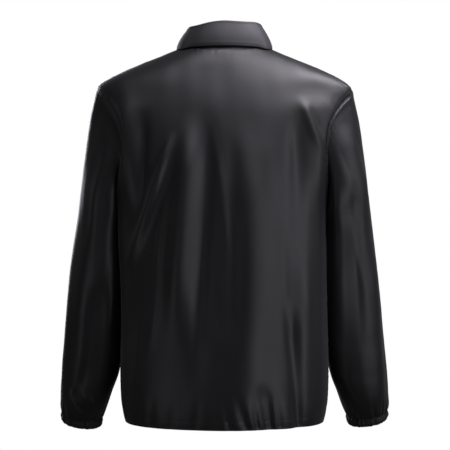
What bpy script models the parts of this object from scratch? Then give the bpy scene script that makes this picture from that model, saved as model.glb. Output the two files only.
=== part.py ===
"""Windbreaker in its worn form: hollow cloth panels, sleeves, collar, elastic cuffs, hem casing and snaps.

Metres, +Z up. The front faces -Y and the wearer's left is +X. The origin is the middle of the neck
opening, level with the two points where the shoulder seams meet the collar.
"""

import math
from collections import namedtuple

import bmesh
import bpy
import numpy as np
from mathutils import Matrix, Vector

# Driving dimensions
BODY_LENGTH = 0.704  # neck point down to the hem's edge
CASING_HEIGHT = 0.017  # turned hem, drawn up by the elastic in it
BACK_HEM_DIP = 0.003  # how much lower the hem hangs at the middle of the back than at the sides
UNDERARM_DEPTH = 0.302  # neck point down to the underarm
SHOULDER_DROP = 0.080  # neck point down to the shoulder tip
NECK_HALF = 0.074  # neck opening, half its width
BACK_NECK_DROP = 0.013
FRONT_NECK_DROP = 0.078
CLOTH = 0.0015  # wall of one panel
BAND = 0.0022  # wall of a turned band: hem casing or cuff
BAND_PROUD = 0.0004  # how far a band stands out of the panel that it ends
COLLAR_WALL = 0.0020
SEAM_GAP = 0.0003  # between two pieces sewn together

# Grid of the panels
NECK_COLUMNS = 8  # from the neckline's middle to the neck point
SHOULDER_COLUMNS = 9
SIDE_ROWS = 11  # hem casing to underarm
ARMHOLE_ROWS = 12  # underarm to shoulder tip
SLEEVE_ROWS = 20

SIDE = math.pi / 2
NECK_STEP = SIDE / NECK_COLUMNS
FRONT_OVERLAP = NECK_HALF * math.sin(NECK_STEP)  # how far each front passes the centre line

# Armhole: how far it cuts into the back and the front, in degrees round the body from the side, and how
# much more it does so in its upper half
ARMHOLE_SPREAD_BACK = 35.5
ARMHOLE_SPREAD_FRONT = 36.5
ARMHOLE_SKEW = 0.28
UNDERARM_CLIMB = 1.35  # how soon the seam climbs from the underarm: 1 at once, 2 as a round curve
ROW_SAG = 0.10  # how far the panels' rows dip towards the middle, so that they meet the armhole squarely
SLEEVE_SPACING = 0.85  # under 1, the sleeve's rows are wider apart at the armhole

# The left front's lift over the right one, which fades out between two distances from the centre line
FRONT_LIFT = CLOTH + 2 * SEAM_GAP
LIFT_START = 0.030
LIFT_END = 0.060
BODY_MIDDLE = np.array([0.0, 0.0, -BODY_LENGTH / 2])

# Level sections of the body, hem to neck
Section = namedtuple("Section", "height half_width back_depth front_depth roundness")
BODY_SECTIONS = [
    Section(-0.7040, 0.1865, 0.131, 0.129, 2.30),
    Section(-0.6870, 0.1905, 0.136, 0.134, 2.30),
    Section(-0.6600, 0.1945, 0.140, 0.139, 2.30),
    Section(-0.6100, 0.1960, 0.143, 0.142, 2.30),
    Section(-0.5000, 0.1935, 0.143, 0.144, 2.28),
    Section(-0.4000, 0.1915, 0.142, 0.145, 2.25),
    Section(-0.3350, 0.1908, 0.141, 0.145, 2.22),
    Section(-0.3020, 0.1930, 0.140, 0.143, 2.20),
    Section(-0.2500, 0.2075, 0.136, 0.137, 2.15),
    Section(-0.1900, 0.2280, 0.128, 0.123, 2.10),
    Section(-0.1300, 0.2410, 0.115, 0.103, 2.05),
    Section(-0.0925, 0.2440, 0.104, 0.088, 2.00),
    Section(-0.0800, 0.2400, 0.101, 0.083, 2.00),
    Section(-0.0700, 0.2310, 0.098, 0.080, 2.00),
    Section(-0.0586, 0.2132, 0.094, 0.076, 2.00),
    Section(-0.0360, 0.1632, 0.086, 0.067, 2.00),
    Section(-0.0133, 0.1066, 0.075, 0.058, 2.00),
    Section(0.0000, 0.0740, 0.068, 0.052, 2.00),
]

# Rings of the left sleeve, armhole to cuff: outer and inner points, and the depth from front to back
Ring = namedtuple("Ring", "outer_x outer_z inner_x inner_z middle_y half_depth back_drop")
SLEEVE_RINGS = [
    Ring(0.2400, -0.080, 0.1930, -0.302, 0.000, 0.080, 0.000),
    Ring(0.2541, -0.140, 0.1952, -0.309, -0.006, 0.081, 0.000),
    Ring(0.2640, -0.207, 0.1950, -0.318, -0.014, 0.082, 0.001),
    Ring(0.2722, -0.270, 0.1938, -0.330, -0.023, 0.081, 0.002),
    Ring(0.2815, -0.340, 0.1920, -0.355, -0.032, 0.080, 0.004),
    Ring(0.2902, -0.410, 0.1915, -0.418, -0.038, 0.077, 0.008),
    Ring(0.2987, -0.480, 0.1918, -0.482, -0.045, 0.073, 0.012),
    Ring(0.3060, -0.552, 0.1932, -0.550, -0.056, 0.068, 0.014),
    Ring(0.3124, -0.608, 0.1996, -0.605, -0.066, 0.063, 0.014),
    Ring(0.3158, -0.652, 0.2155, -0.652, -0.073, 0.056, 0.012),
    Ring(0.3168, -0.680, 0.2262, -0.684, -0.078, 0.048, 0.010),
    Ring(0.3150, -0.697, 0.2370, -0.707, -0.081, 0.039, 0.009),
]
CUFF_RINGS = [
    Ring(0.3150, -0.697, 0.2370, -0.707, -0.081, 0.039, 0.009),
    Ring(0.3160, -0.706, 0.2368, -0.715, -0.083, 0.039, 0.009),
    Ring(0.3120, -0.715, 0.2395, -0.724, -0.085, 0.036, 0.008),
]
SLEEVE_ROUNDNESS = 2.15
CAP_RINGS = 3.0  # rings over which the armhole's own shape fades into the sleeve's

# Soft folds, as ridges (rise above 0) or troughs (below 0): their two ends across and up, and the
# sideways bow, width and rise of each
Fold = namedtuple("Fold", "x_top z_top x_bottom z_bottom bow width rise")
BACK_FOLDS = [
    Fold(0.070, -0.170, 0.084, -0.560, -0.006, 0.028, 0.0060),
    Fold(0.018, -0.190, 0.004, -0.600, 0.004, 0.026, -0.0055),
    Fold(-0.044, -0.140, -0.066, -0.760, 0.010, 0.036, 0.0070),
    Fold(0.108, -0.190, 0.160, -0.470, 0.012, 0.012, 0.0045),
    Fold(0.102, -0.360, 0.142, -0.640, 0.006, 0.015, 0.0035),
    Fold(-0.128, -0.100, -0.186, -0.290, -0.012, 0.014, 0.0065),
    Fold(-0.112, -0.160, -0.134, -0.420, 0.004, 0.022, -0.0050),
    Fold(-0.130, -0.420, -0.160, -0.740, 0.004, 0.020, 0.0050),
]
FRONT_LEFT_FOLDS = [
    Fold(0.150, -0.130, 0.110, -0.420, 0.010, 0.022, 0.0055),
    Fold(0.075, -0.200, 0.085, -0.760, 0.006, 0.030, 0.0050),
    Fold(0.140, -0.420, 0.120, -0.740, -0.006, 0.020, -0.0045),
]
FRONT_RIGHT_FOLDS = [
    Fold(-0.146, -0.140, -0.100, -0.460, -0.008, 0.020, 0.0055),
    Fold(-0.068, -0.240, -0.090, -0.760, 0.008, 0.028, 0.0050),
    Fold(-0.150, -0.400, -0.128, -0.700, 0.006, 0.022, -0.0045),
]
# On a sleeve, across is the turn round it from its outer line, over the back, and up is the ring
LEFT_SLEEVE_FOLDS = [
    Fold(0.75, 0.8, 1.00, 5.5, 0.10, 0.30, -0.0050),
    Fold(0.35, 3.5, 0.55, 10.0, 0.06, 0.28, 0.0045),
    Fold(1.55, 5.0, 1.20, 10.0, 0.10, 0.22, -0.0040),
    Fold(4.40, 4.5, 5.10, 7.5, 0.20, 0.26, -0.0060),
    Fold(4.90, 1.0, 4.60, 4.5, 0.10, 0.26, 0.0045),
]
RIGHT_SLEEVE_FOLDS = [
    Fold(0.90, 0.6, 0.70, 4.5, -0.08, 0.24, 0.0045),
    Fold(1.30, 2.0, 1.45, 8.0, 0.08, 0.26, -0.0050),
    Fold(0.60, 4.0, 0.85, 10.0, 0.08, 0.28, 0.0045),
    Fold(4.50, 4.8, 5.00, 7.8, 0.20, 0.26, -0.0060),
    Fold(4.80, 1.2, 4.70, 4.5, 0.10, 0.26, 0.0045),
]

# Collar round the neck, in degrees from the centre back: stand, inward lean, and edge of the turned fall
CollarSection = namedtuple("CollarSection", "around stand lean edge_x edge_z edge_clear")
COLLAR_SECTIONS = [
    CollarSection(0.0, 0.0545, 0.014, 0.000, -0.004, 0.014),
    CollarSection(45.0, 0.0470, 0.011, 0.056, -0.004, 0.012),
    CollarSection(90.0, 0.0400, 0.007, 0.0788, -0.002, 0.0105),
    CollarSection(125.0, 0.0370, 0.006, 0.084, -0.052, 0.006),
    CollarSection(150.0, 0.0325, 0.006, 0.075, -0.096, 0.006),
    CollarSection(180.0, 0.0290, 0.006, 0.054, -0.134, 0.006),
]
STAND_ROWS = 3
ROLL_ROWS = 4
FALL_ROWS = 4
ROLL_RADIUS = 0.004
FALL_BOW = 0.003

# Gathers
CUFF_GATHERS = 24
CUFF_GATHER_RISE = 0.0011
BACK_HEM_GATHERS = 22
FRONT_HEM_GATHERS = 11
HEM_GATHER_RISE = 0.0010
POINTS_PER_GATHER = 4

# Snaps down the front
SNAP_COUNT = 6
SNAP_TOP = -0.104
SNAP_BOTTOM = -0.645
SNAP_RADIUS = 0.0070
SNAP_HEIGHT = 0.0022
SNAP_SIDES = 12

Finish = namedtuple("Finish", "colour roughness metallic")
FINISHES = {
    "shell_nylon": Finish((0.012, 0.012, 0.013), 0.42, 0.0),
    "elastic_band": Finish((0.010, 0.010, 0.011), 0.55, 0.0),
    "snap_cap": Finish((0.016, 0.016, 0.017), 0.30, 0.0),
}


def clear_scene():
    for obj in list(bpy.data.objects):
        bpy.data.objects.remove(obj)


def material(name):
    found = bpy.data.materials.get(name)
    if found:
        return found
    finish = FINISHES[name]
    made = bpy.data.materials.new(name)
    made.use_nodes = True
    shader = made.node_tree.nodes["Principled BSDF"]
    shader.inputs["Base Color"].default_value = (*finish.colour, 1.0)
    shader.inputs["Roughness"].default_value = finish.roughness
    shader.inputs["Metallic"].default_value = finish.metallic
    return made


def column(table, name):
    return np.array([getattr(row, name) for row in table], float)


def smooth(keys, values, at):
    """A curve through the values at the keys, which never overshoots them."""
    step = np.diff(keys)
    slope = np.diff(values) / step
    tangent = np.concatenate([slope[:1], np.zeros(len(slope) - 1), slope[-1:]])
    before, after = slope[:-1], slope[1:]
    same_way = before * after > 0
    total = np.where(same_way, before + after, 1.0)
    tangent[1:-1] = np.where(same_way, 2 * before * after / total, 0.0)
    place = np.clip(np.searchsorted(keys, at, side="right") - 1, 0, len(step) - 1)
    t = np.clip((at - keys[place]) / step[place], 0.0, 1.0)
    rise = values[place + 1] - values[place]
    start, end = tangent[place] * step[place], tangent[place + 1] * step[place]
    square, cube = 3 * rise - 2 * start - end, start + end - 2 * rise
    return values[place] + t * (start + t * (square + t * cube))


def eased(low, high, value):
    t = np.clip((value - low) / (high - low), 0.0, 1.0)
    return t * t * (3 - 2 * t)


def unit(vectors):
    return vectors / np.linalg.norm(vectors, axis=-1, keepdims=True)


def body_size(name, height):
    return smooth(column(BODY_SECTIONS, "height"), column(BODY_SECTIONS, name), height)


def signed_power(value, power):
    return np.sign(value) * np.abs(value) ** power


def body_point(lean, height, front):
    """Points of the body's outside. The lean is 0 at the middle and a quarter turn at the side."""
    power = 2.0 / body_size("roundness", height)
    depth = -body_size("front_depth", height) if front else body_size("back_depth", height)
    across = body_size("half_width", height) * signed_power(np.sin(lean), power)
    return np.stack([across, depth * signed_power(np.cos(lean), power), height], axis=-1)


def body_lean(across, height):
    """The lean at which the body is that far across."""
    share = np.clip(np.abs(across) / body_size("half_width", height), 0.0, 1.0)
    return np.sign(across) * np.arcsin(share ** (body_size("roundness", height) / 2.0))


def neckline(turn, front):
    """(lean, height) of the neck seam. The turn is 0 at the middle and a quarter turn at the neck point."""
    height = -(FRONT_NECK_DROP if front else BACK_NECK_DROP) * np.cos(turn) ** 2
    return body_lean(NECK_HALF * np.sin(turn), height), height


def armhole(turn, spread):
    """(lean, height) of the armhole seam, from the underarm at 0 to the shoulder tip at pi."""
    middle = -(UNDERARM_DEPTH + SHOULDER_DROP) / 2
    half = (UNDERARM_DEPTH - SHOULDER_DROP) / 2
    away = math.radians(spread) * np.sin(turn) * (1 - ARMHOLE_SKEW * np.cos(turn))
    lower = half * (np.clip(turn / SIDE, 0.0, 1.0) ** UNDERARM_CLIMB - 1.0)
    return SIDE - away, middle + np.where(turn < SIDE, lower, -half * np.cos(turn))


def fold_rise(folds, across, up):
    """How far the folds lift the cloth at each point."""
    total = np.zeros_like(across)
    for fold in folds:
        run = np.array([fold.x_bottom - fold.x_top, fold.z_bottom - fold.z_top])
        t = (up - fold.z_top) / run[1]
        middle = fold.x_top + run[0] * t + fold.bow * 4 * t * (1 - t)
        fade = eased(0.0, 0.35, t) * (1 - eased(0.75, 1.0, t))
        total = total + fold.rise * fade * np.exp(-(((across - middle) / fold.width) ** 2))
    return total


def grid_normals(points, closed=False):
    """Unit normals of a grid of points, from its rows and columns."""
    if closed:
        along = np.roll(points, -1, axis=1) - np.roll(points, 1, axis=1)
    else:
        along = np.gradient(points, axis=1)
    return unit(np.cross(along, np.gradient(points, axis=0)))


def outward(points, normals, centre):
    """The normals, turned round if most of them point towards the centre."""
    return normals if np.sum((points - centre) * normals) > 0 else -normals


def patch(bottom, top, inner, outer):
    """A flat grid between four edges. The outer edge's bends die out before the middle."""
    u = np.linspace(0.0, 1.0, len(bottom))[None, :, None]
    heights = outer[:, 1] - outer[0, 1]
    v = (heights / heights[-1])[:, None, None]
    inner_bend = inner[:, None] - (1 - v) * inner[0] - v * inner[-1]
    outer_bend = outer[:, None] - (1 - v) * outer[0] - v * outer[-1]
    return (1 - v) * bottom[None] + v * top[None] + (1 - u) * inner_bend + eased(0.4, 1.0, u) * outer_bend


def half_panel(front):
    """(lean, height) grid of half the back or of one front, on the wearer's left, from middle to side."""
    casing = -BODY_LENGTH + CASING_HEIGHT
    arm_turns = np.linspace(0.0, math.pi, ARMHOLE_ROWS + 1)[1:]
    arm_leans, arm_heights = armhole(arm_turns, ARMHOLE_SPREAD_FRONT if front else ARMHOLE_SPREAD_BACK)
    side_heights = np.linspace(casing, -UNDERARM_DEPTH, SIDE_ROWS + 1)
    outer_leans = np.concatenate([np.full(SIDE_ROWS + 1, SIDE), arm_leans])
    outer_heights = np.concatenate([side_heights, arm_heights])
    first = -NECK_STEP if front else 0.0
    neck_turns = np.arange(first, SIDE + NECK_STEP / 2, NECK_STEP)
    neck_leans, neck_heights = neckline(neck_turns, front)
    shoulder_heights = np.linspace(0.0, -SHOULDER_DROP, SHOULDER_COLUMNS + 1)[1:]
    top_leans = np.concatenate([neck_leans, np.full(SHOULDER_COLUMNS, SIDE)])
    top_heights = np.concatenate([neck_heights, shoulder_heights])
    climb = (outer_heights - casing) / (outer_heights[-1] - casing)
    lowest = casing - hem_dip(0.0, front)
    inner_heights = lowest + (neck_heights[0] - lowest) * (climb - ROW_SAG * np.sin(math.pi * climb))
    inner_leans = body_lean(NECK_HALF * np.sin(np.full_like(climb, first)), inner_heights)
    bottom_leans = np.linspace(inner_leans[0], SIDE, len(top_leans))
    flat = patch(
        laid_flat(bottom_leans, casing - hem_dip(bottom_leans, front)),
        laid_flat(top_leans, top_heights),
        laid_flat(inner_leans, inner_heights),
        laid_flat(outer_leans, outer_heights),
    )
    return np.stack([flat[..., 0] / body_size("half_width", flat[..., 1]) * SIDE, flat[..., 1]], axis=-1)


def hem_dip(lean, front):
    return 0.0 * lean if front else BACK_HEM_DIP * np.cos(lean)


def laid_flat(lean, height):
    return np.stack([lean / SIDE * body_size("half_width", height), height], axis=-1)


def folded(lean, height, front, folds, lift=0.0):
    """Body points with their folds, and with the forward lift of a front that lies over the other."""
    points = body_point(lean, height, front)
    normals = levelled(outward(points, grid_normals(points), BODY_MIDDLE))
    across = np.linspace(0.0, 1.0, points.shape[1])
    kept = eased(0.0, 0.09, across) * eased(0.0, 0.09, 1 - across)
    points = points + normals * (kept * fold_rise(folds, points[..., 0], points[..., 2]))[..., None]
    return lifted(points, lift)


def lifted(points, lift):
    """Points of the left front, moved forward where it lies over the right one."""
    moved = points.copy()
    moved[..., 1] -= lift * (1 - eased(LIFT_START, LIFT_END, points[..., 0]))
    return moved


def body_panels():
    """Point grids of the back and the two fronts. Rows run up, and a front's columns run to its side."""
    half = half_panel(False)
    mirror = np.array([-1.0, 1.0])
    back = np.concatenate([half[:, :0:-1] * mirror, half], axis=1)
    left = half_panel(True)
    right = left * mirror
    return {
        "back": folded(back[..., 0], back[..., 1], False, BACK_FOLDS),
        "front_left": folded(left[..., 0], left[..., 1], True, FRONT_LEFT_FOLDS, FRONT_LIFT),
        "front_right": folded(right[..., 0], right[..., 1], True, FRONT_RIGHT_FOLDS),
    }


def ring_points(rings, place, turn, side):
    """Points round a sleeve, at places along its rings and at turns from its outer line over the back."""
    index = np.arange(len(rings), dtype=float)
    size = {name: smooth(index, column(rings, name), place)[:, None] for name in Ring._fields}
    power = 2.0 / SLEEVE_ROUNDNESS
    out, back = signed_power(np.cos(turn), power)[None, :], signed_power(np.sin(turn), power)[None, :]
    x = (size["outer_x"] + size["inner_x"]) / 2 + (size["outer_x"] - size["inner_x"]) / 2 * out
    y = size["middle_y"] + size["half_depth"] * back
    z = (size["outer_z"] + size["inner_z"]) / 2 + (size["outer_z"] - size["inner_z"]) / 2 * out
    return np.stack([side * x, y, z - size["back_drop"] * back], axis=-1)


def sleeve(panels, side, folds):
    """Point grid of a sleeve. Its first row is the armhole seam of the panels."""
    edge = -1 if side > 0 else 0
    back_edge_points = panels["back"][SIDE_ROWS:, edge]
    front_points = panels["front_left" if side > 0 else "front_right"][SIDE_ROWS:, -1]
    loop = np.concatenate([back_edge_points[::-1], front_points[1:-1]])
    turn = np.linspace(0.0, 2 * math.pi, len(loop) + 1)[:-1]
    place = np.linspace(0.0, 1.0, SLEEVE_ROWS + 1) ** SLEEVE_SPACING * (len(SLEEVE_RINGS) - 1)
    points = ring_points(SLEEVE_RINGS, place, turn, side)
    own = eased(0.0, CAP_RINGS, place)[:, None, None]
    points = (1 - own) * (loop[None] - points[:1]) + points
    normals = outward(points, grid_normals(points, True), points.mean(axis=1, keepdims=True))
    across, up = np.meshgrid(turn, place)
    return points + normals * fold_rise(folds, across, up)[..., None]


def shared_normals(grids, closed):
    """Normals of grids sewn together. Points on a seam share one, so that the walls meet edge to edge."""
    sums = {True: {}, False: {}}
    keys = {}
    for name, points in grids.items():
        tube = name in closed
        centre = points.mean(axis=1, keepdims=True) if tube else BODY_MIDDLE
        normals = outward(points, grid_normals(points, tube), centre)
        if not tube:
            normals[0] = levelled(normals[0])
        keys[name] = [tuple(key) for key in np.round(points * 1e5).astype(int).reshape(-1, 3)]
        for key, normal in zip(keys[name], normals.reshape(-1, 3)):
            sums[tube][key] = sums[tube].get(key, 0.0) + normal
    found = {}
    for name, points in grids.items():
        total = [sum(unit(part[key]) for part in sums.values() if key in part) for key in keys[name]]
        found[name] = unit(np.array(total).reshape(points.shape))
    return found


def levelled(normals):
    """The normals without their rise, as where a panel meets the band under it."""
    return unit(normals * np.array([1.0, 1.0, 0.0]))


def pulled_in(points, normals, closed=False):
    """The grid with its edges drawn in by half a seam gap."""
    moved = points.copy()
    moved[0] += drawn(points[1] - points[0], normals[0], points[0])
    moved[-1] += drawn(points[-2] - points[-1], normals[-1], points[-1])
    if not closed:
        moved[:, 0] += drawn(points[:, 1] - points[:, 0], normals[:, 0], points[:, 0])
        moved[:, -1] += drawn(points[:, -2] - points[:, -1], normals[:, -1], points[:, -1])
    return moved


def drawn(step, normals, edge):
    """Half a seam gap along each step, square to the normals and to the edge."""
    for across in (normals, np.gradient(edge, axis=0)):
        across = unit(across)
        step = step - across * np.sum(step * across, axis=-1, keepdims=True)
    return unit(step) * SEAM_GAP * 0.55


def wall(name, outside, inside, finish, closed=False):
    """A cloth wall between two grids of points, as one closed mesh."""
    rows, columns = outside.shape[:2]
    mesh = bmesh.new()
    faces = [[[mesh.verts.new(p) for p in row] for row in grid] for grid in (outside, inside)]
    last = columns if closed else columns - 1
    for i in range(rows - 1):
        for j in range(last):
            k = (j + 1) % columns
            rising = np.linalg.norm(outside[i, j] - outside[i + 1, k])
            falling = np.linalg.norm(outside[i + 1, j] - outside[i, k])
            for skin, turn in zip(faces, (1, -1)):
                a, b, c, d = skin[i][j], skin[i][k], skin[i + 1][k], skin[i + 1][j]
                for corners in ((a, b, c), (a, c, d)) if rising <= falling else ((a, b, d), (b, c, d)):
                    mesh.faces.new(corners[::turn])
    outer, inner = faces
    rims = [(outer[0], inner[0]), (outer[-1], inner[-1])]
    if not closed:
        rims += [([row[0] for row in outer], [row[0] for row in inner])]
        rims += [([row[-1] for row in outer], [row[-1] for row in inner])]
    for number, (upper, lower) in enumerate(rims):
        for j in range(last if number < 2 else rows - 1):
            k = (j + 1) % len(upper)
            mesh.faces.new((upper[j], upper[k], lower[k], lower[j]))
    bmesh.ops.recalc_face_normals(mesh, faces=mesh.faces[:])
    return finished(name, mesh, finish)


def finished(name, mesh, finish):
    """The bmesh as a named object with its material, shaded smooth but for its edges."""
    data = bpy.data.meshes.new(name)
    mesh.to_mesh(data)
    mesh.free()
    data.shade_smooth()
    data.set_sharp_from_angle(angle=math.radians(50))
    data.materials.append(material(finish))
    obj = bpy.data.objects.new(name, data)
    bpy.context.scene.collection.objects.link(obj)
    return obj


def make_panels_and_sleeves():
    grids = body_panels()
    grids["sleeve_left"] = sleeve(grids, 1, LEFT_SLEEVE_FOLDS)
    grids["sleeve_right"] = sleeve(grids, -1, RIGHT_SLEEVE_FOLDS)
    tubes = {"sleeve_left", "sleeve_right"}
    normals = shared_normals(grids, tubes)
    for name, points in grids.items():
        outside = pulled_in(points, normals[name], name in tubes)
        wall(name, outside, outside - CLOTH * normals[name], "shell_nylon", name in tubes)


def make_hem(name, first, last, front, gathers, folds, lift=0.0):
    """The turned casing under one panel, drawn up by its elastic into shallow gathers."""
    count = gathers * POINTS_PER_GATHER
    heights = np.linspace(-BODY_LENGTH, -BODY_LENGTH + CASING_HEIGHT, 3)
    lean, height = np.meshgrid(np.linspace(first, last, count + 1), heights)
    points = folded(lean, height - hem_dip(lean, front), front, folds, lift)
    normals = levelled(outward(points, grid_normals(points), BODY_MIDDLE))
    wave = np.cos(np.linspace(0.0, 2 * math.pi * gathers, count + 1))
    strength = np.array([0.7, 1.0, 0.35])[:, None] * HEM_GATHER_RISE
    points = pulled_in(points + normals * (wave * strength)[..., None], normals)
    wall(name, points + BAND_PROUD * normals, points - (BAND - BAND_PROUD) * normals, "shell_nylon")


def make_hems():
    make_hem("hem_back", -SIDE, SIDE, False, BACK_HEM_GATHERS, BACK_FOLDS)
    casing = np.array([-BODY_LENGTH + CASING_HEIGHT])
    edge = body_lean(np.array([-FRONT_OVERLAP]), casing)[0]
    over = BAND + SEAM_GAP + 2 * HEM_GATHER_RISE
    make_hem("hem_front_left", edge, SIDE, True, FRONT_HEM_GATHERS, FRONT_LEFT_FOLDS, over)
    make_hem("hem_front_right", -edge, -SIDE, True, FRONT_HEM_GATHERS, FRONT_RIGHT_FOLDS)


def make_cuff(name, side):
    """An elastic band, gathered all round."""
    count = CUFF_GATHERS * POINTS_PER_GATHER
    turn = np.linspace(0.0, 2 * math.pi, count + 1)[:-1]
    place = np.arange(len(CUFF_RINGS), dtype=float)
    points = ring_points(CUFF_RINGS, place, turn, side)
    normals = outward(points, grid_normals(points, True), points.mean(axis=1, keepdims=True))
    wave = np.cos(CUFF_GATHERS * turn)[None, :]
    strength = np.array([0.5, 1.0, 0.8])[:, None] * CUFF_GATHER_RISE
    points = pulled_in(points + normals * (wave * strength)[..., None], normals, True)
    wall(name, points + BAND_PROUD * normals, points - (BAND - BAND_PROUD) * normals, "elastic_band", True)


def collar_section(turn):
    """Points up the stand, over the roll and down the fall, at one turn round the neck."""
    around = np.array([math.degrees(abs(turn))])
    size = {
        name: smooth(column(COLLAR_SECTIONS, "around"), column(COLLAR_SECTIONS, name), around)[0]
        for name in CollarSection._fields
    }
    front = abs(turn) > SIDE + NECK_STEP / 2
    lean, height = neckline(np.array([math.pi - abs(turn) if front else abs(turn)]), front)
    root = lifted(body_point(lean, height, front), FRONT_LIFT if front and turn > 0 else 0.0)[0]
    away = levelled(root)
    up = np.array([0.0, 0.0, 1.0])
    crown = root + up * (size["stand"] - ROLL_RADIUS) - away * size["lean"]
    edge_height = np.array([size["edge_z"]])
    edge = body_point(body_lean(np.array([size["edge_x"]]), edge_height), edge_height, front)[0]
    edge = edge + levelled(edge) * size["edge_clear"]
    rows = []
    for t in np.linspace(0.0, 1.0, STAND_ROWS + 1):
        rows.append(root + (crown - away * ROLL_RADIUS - root) * t)
    for t in np.linspace(0.0, math.pi, ROLL_ROWS + 1)[1:]:
        rows.append(crown + (-away * math.cos(t) + up * math.sin(t)) * ROLL_RADIUS)
    start = rows[-1]
    for t in np.linspace(0.0, 1.0, FALL_ROWS + 1)[1:]:
        rows.append(start + (edge - start) * t + away * FALL_BOW * 4 * t * (1 - t))
    points = np.array(rows)
    if turn < 0:
        points[:, 0] = -points[:, 0]
    return points


def body_normal(lean, height, front):
    """Outward normal of the body's plain form at one place."""
    step = 1e-4
    leans, heights = np.meshgrid(lean + np.array([-step, 0.0, step]), height + np.array([-step, 0.0, step]))
    points = body_point(leans, heights, front)
    return outward(points, grid_normals(points), BODY_MIDDLE)[1, 1]


def neck_normal(turn):
    """Normal of the panels at the neck seam, between those of the back and the front at the neck point."""
    sides = [False, True] if abs(abs(turn) - SIDE) < NECK_STEP / 2 else [abs(turn) > SIDE]
    total = np.zeros(3)
    for front in sides:
        lean, height = neckline(np.array([math.pi - abs(turn) if front else abs(turn)]), front)
        total += body_normal(min(lean[0], SIDE - 0.02), min(height[0], -0.0005), front)
    total[0] *= -1.0 if turn < 0 else 1.0
    return unit(total)


def make_collar():
    """A stand and a turned fall, in one piece. Its lower edge butts against the panels at the neck seam."""
    count = 2 * NECK_COLUMNS - 1
    turns = np.arange(-count, count + 1) * NECK_STEP
    points = np.stack([collar_section(turn) for turn in turns], axis=1)
    normals = grid_normals(points)
    normals = normals * np.sign(np.sum(normals[1] * levelled(points[1])))
    half = COLLAR_WALL / 2
    outside, inside = points + half * normals, points - half * normals
    edge_normals = np.stack([neck_normal(turn) for turn in turns])
    along = np.gradient(points[0], axis=0)
    off = unit(np.cross(edge_normals, along))
    off = off * np.sign(np.sum(off * (points[1] - points[0]), axis=-1, keepdims=True))
    outside[0] = points[0] + SEAM_GAP * off
    inside[0] = outside[0] - COLLAR_WALL * edge_normals
    wall("collar", outside, inside, "shell_nylon")


def make_snap(name, height, lift):
    """A low domed cap on the left front, over the centre line."""
    lean, heights = np.meshgrid(np.linspace(-0.1, 0.1, 3), height + np.linspace(-0.005, 0.005, 3))
    points = folded(lean, heights, True, FRONT_LEFT_FOLDS, lift)
    normal = outward(points, grid_normals(points), BODY_MIDDLE)[1, 1]
    seat = Vector(points[1, 1] + normal * SEAM_GAP * 1.5)
    profile = [
        (0.0, 0.0),
        (SNAP_RADIUS, 0.0),
        (SNAP_RADIUS, SNAP_HEIGHT * 0.4),
        (SNAP_RADIUS * 0.8, SNAP_HEIGHT * 0.85),
        (0.0, SNAP_HEIGHT),
    ]
    mesh = bmesh.new()
    points = [mesh.verts.new((radius, 0.0, level)) for radius, level in profile]
    edges = [mesh.edges.new(pair) for pair in zip(points, points[1:])]
    bmesh.ops.spin(
        mesh, geom=points + edges, cent=(0, 0, 0), axis=(0, 0, 1), angle=2 * math.pi, steps=SNAP_SIDES,
        use_merge=True,
    )
    bmesh.ops.remove_doubles(mesh, verts=mesh.verts[:], dist=1e-5)
    bmesh.ops.recalc_face_normals(mesh, faces=mesh.faces[:])
    turn = Vector(normal).to_track_quat("Z", "Y").to_matrix().to_4x4()
    obj = finished(name, mesh, "snap_cap")
    obj.matrix_world = Matrix.Translation(seat) @ turn


def make_snaps():
    for number, height in enumerate(np.linspace(SNAP_TOP, SNAP_BOTTOM, SNAP_COUNT)):
        make_snap(f"snap_{number + 1}", height, FRONT_LIFT)


def main():
    clear_scene()
    make_panels_and_sleeves()
    make_hems()
    make_cuff("cuff_left", 1)
    make_cuff("cuff_right", -1)
    make_collar()
    make_snaps()


main()
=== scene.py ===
import math

import bmesh
import bpy
import numpy as np
from mathutils import Matrix, Vector


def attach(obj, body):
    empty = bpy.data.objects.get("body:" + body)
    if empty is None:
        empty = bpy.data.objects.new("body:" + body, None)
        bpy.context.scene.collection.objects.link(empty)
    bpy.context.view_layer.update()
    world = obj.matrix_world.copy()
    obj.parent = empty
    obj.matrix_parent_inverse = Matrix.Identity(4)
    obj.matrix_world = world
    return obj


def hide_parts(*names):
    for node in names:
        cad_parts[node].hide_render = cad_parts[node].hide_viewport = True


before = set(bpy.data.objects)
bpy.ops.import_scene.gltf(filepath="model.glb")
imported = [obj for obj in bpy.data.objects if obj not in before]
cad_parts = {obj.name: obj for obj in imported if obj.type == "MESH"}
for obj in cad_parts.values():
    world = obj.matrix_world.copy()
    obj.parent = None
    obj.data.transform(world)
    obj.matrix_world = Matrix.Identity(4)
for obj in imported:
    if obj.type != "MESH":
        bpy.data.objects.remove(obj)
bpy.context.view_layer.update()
print("frame loaded with", len(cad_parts), "nodes")

# camera, level with the middle of the back; width is what the frame takes in at the jacket
shot = {"distance": 3.0, "height": -0.336, "aside": -0.001, "width": 0.849, "sensor": 36.0}

camData = bpy.data.cameras.new("backView")
camData.sensor_width = shot["sensor"]
camData.lens = shot["sensor"] * shot["distance"] / shot["width"]
cam = bpy.data.objects.new("backView", camData)
cam.location = (shot["aside"], shot["distance"], shot["height"])
cam.rotation_euler = (math.radians(90), 0.0, math.radians(180))
bpy.context.scene.collection.objects.link(cam)
bpy.context.scene.camera = cam
print("camera set")


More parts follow.
